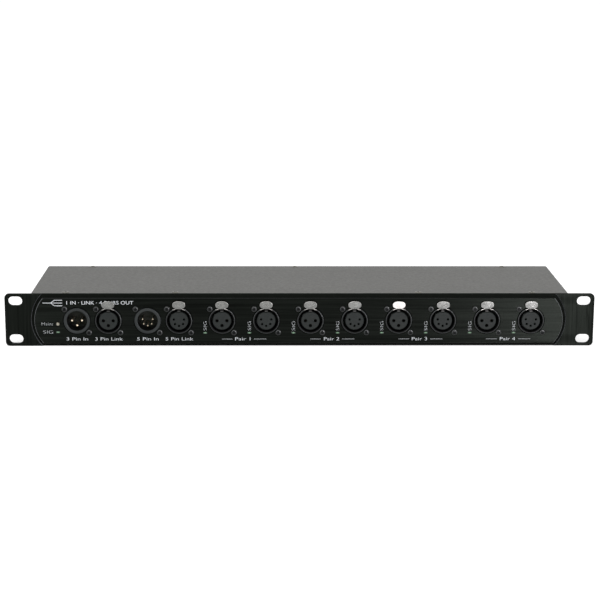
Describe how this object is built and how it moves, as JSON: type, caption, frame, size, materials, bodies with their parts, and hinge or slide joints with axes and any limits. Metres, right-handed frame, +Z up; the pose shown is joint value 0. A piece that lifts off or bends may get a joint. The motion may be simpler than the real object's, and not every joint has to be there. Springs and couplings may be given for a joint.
{
  "type": "dmx splitter",
  "caption": "Rack-mount lighting data splitter with latching round sockets across its front panel, a folded steel case and a fused mains inlet with a rocker switch.",
  "frame": {"origin": "middle of the underside of the chassis tray, on the surface the unit stands on", "axes": "+X to the right along the front panel as seen from the front, +Y back into the rack, +Z up"},
  "size_m": [0.4826, 0.1242, 0.0437],
  "materials": {
    "panel_black": "black anodised, fine brushed",
    "case_paint": "fine textured dark powder coat",
    "shell_metal": "satin black plating on die casting",
    "insert_plastic": "matte moulded",
    "latch_metal": "satin nickel",
    "lamp_green": "clear tinted lens",
    "lamp_clear": "milky lens",
    "board_green": "solder mask",
    "core_steel": "varnished laminations",
    "black_plastic": "semi-gloss moulded",
    "fuse_glass": "clear tube with plated caps"
  },
  "bodies": {
    "root": {"front_panel": "panel_black", "chassis_tray": "case_paint", "front_frame": "case_paint", "rear_panel": "case_paint", "top_cover": "case_paint", "input_3pin_shell": "shell_metal", "input_3pin_insert": "insert_plastic", "through_3pin_shell": "shell_metal", "through_3pin_insert": "insert_plastic", "input_5pin_shell": "shell_metal", "input_5pin_insert": "insert_plastic", "through_5pin_shell": "shell_metal", "through_5pin_insert": "insert_plastic", "output1_3pin_shell": "shell_metal", "output1_3pin_insert": "insert_plastic", "output1_5pin_shell": "shell_metal", "output1_5pin_insert": "insert_plastic", "output2_3pin_shell": "shell_metal", "output2_3pin_insert": "insert_plastic", "output2_5pin_shell": "shell_metal", "output2_5pin_insert": "insert_plastic", "output3_3pin_shell": "shell_metal", "output3_3pin_insert": "insert_plastic", "output3_5pin_shell": "shell_metal", "output3_5pin_insert": "insert_plastic", "output4_3pin_shell": "shell_metal", "output4_3pin_insert": "insert_plastic", "output4_5pin_shell": "shell_metal", "output4_5pin_insert": "insert_plastic", "power_lamp": "lamp_clear", "data_lamp": "lamp_green", "output1_3pin_lamp": "lamp_green", "output1_5pin_lamp": "lamp_green", "output2_3pin_lamp": "lamp_green", "output2_5pin_lamp": "lamp_green", "output3_3pin_lamp": "lamp_green", "output3_5pin_lamp": "lamp_green", "output4_3pin_lamp": "lamp_green", "output4_5pin_lamp": "lamp_green", "socket_board": "board_green", "logic_board": "board_green", "supply_board": "board_green", "mains_transformer": "core_steel", "mains_inlet": "black_plastic", "switch_body": "black_plastic"},
    "through_3pin_push": {"through_3pin_latch": "latch_metal"},
    "through_5pin_push": {"through_5pin_latch": "latch_metal"},
    "output1_3pin_push": {"output1_3pin_latch": "latch_metal"},
    "output1_5pin_push": {"output1_5pin_latch": "latch_metal"},
    "output2_3pin_push": {"output2_3pin_latch": "latch_metal"},
    "output2_5pin_push": {"output2_5pin_latch": "latch_metal"},
    "output3_3pin_push": {"output3_3pin_latch": "latch_metal"},
    "output3_5pin_push": {"output3_5pin_latch": "latch_metal"},
    "output4_3pin_push": {"output4_3pin_latch": "latch_metal"},
    "output4_5pin_push": {"output4_5pin_latch": "latch_metal"},
    "fuse_carrier": {"fuse_drawer": "black_plastic", "fuse": "fuse_glass"},
    "rocker": {"power_rocker": "black_plastic"}
  },
  "joints": [
    {"name": "through_3pin_release", "type": "slide", "parent": "root", "child": "through_3pin_push", "axis": [0, 0.7071, 0.7071], "range_m": [0, 0.0017], "stiffness_N_per_m": 1500, "springref_m": -0.001},
    {"name": "through_5pin_release", "type": "slide", "parent": "root", "child": "through_5pin_push", "axis": [0, 0.7071, 0.7071], "range_m": [0, 0.0017], "stiffness_N_per_m": 1500, "springref_m": -0.001},
    {"name": "output1_3pin_release", "type": "slide", "parent": "root", "child": "output1_3pin_push", "axis": [0, 0.7071, 0.7071], "range_m": [0, 0.0017], "stiffness_N_per_m": 1500, "springref_m": -0.001},
    {"name": "output1_5pin_release", "type": "slide", "parent": "root", "child": "output1_5pin_push", "axis": [0, 0.7071, 0.7071], "range_m": [0, 0.0017], "stiffness_N_per_m": 1500, "springref_m": -0.001},
    {"name": "output2_3pin_release", "type": "slide", "parent": "root", "child": "output2_3pin_push", "axis": [0, 0.7071, 0.7071], "range_m": [0, 0.0017], "stiffness_N_per_m": 1500, "springref_m": -0.001},
    {"name": "output2_5pin_release", "type": "slide", "parent": "root", "child": "output2_5pin_push", "axis": [0, 0.7071, 0.7071], "range_m": [0, 0.0017], "stiffness_N_per_m": 1500, "springref_m": -0.001},
    {"name": "output3_3pin_release", "type": "slide", "parent": "root", "child": "output3_3pin_push", "axis": [0, 0.7071, 0.7071], "range_m": [0, 0.0017], "stiffness_N_per_m": 1500, "springref_m": -0.001},
    {"name": "output3_5pin_release", "type": "slide", "parent": "root", "child": "output3_5pin_push", "axis": [0, 0.7071, 0.7071], "range_m": [0, 0.0017], "stiffness_N_per_m": 1500, "springref_m": -0.001},
    {"name": "output4_3pin_release", "type": "slide", "parent": "root", "child": "output4_3pin_push", "axis": [0, 0.7071, 0.7071], "range_m": [0, 0.0017], "stiffness_N_per_m": 1500, "springref_m": -0.001},
    {"name": "output4_5pin_release", "type": "slide", "parent": "root", "child": "output4_5pin_push", "axis": [0, 0.7071, 0.7071], "range_m": [0, 0.0017], "stiffness_N_per_m": 1500, "springref_m": -0.001},
    {"name": "fuse_drawer_slide", "type": "slide", "parent": "root", "child": "fuse_carrier", "axis": [0, 1, 0], "range_m": [0, 0.012]},
    {"name": "power_rocker_tilt", "type": "hinge", "parent": "root", "child": "rocker", "pos_m": [0.15, 0.0545, 0.02185], "axis": [-1, 0, 0], "range_deg": [0, 16]}
  ]
}
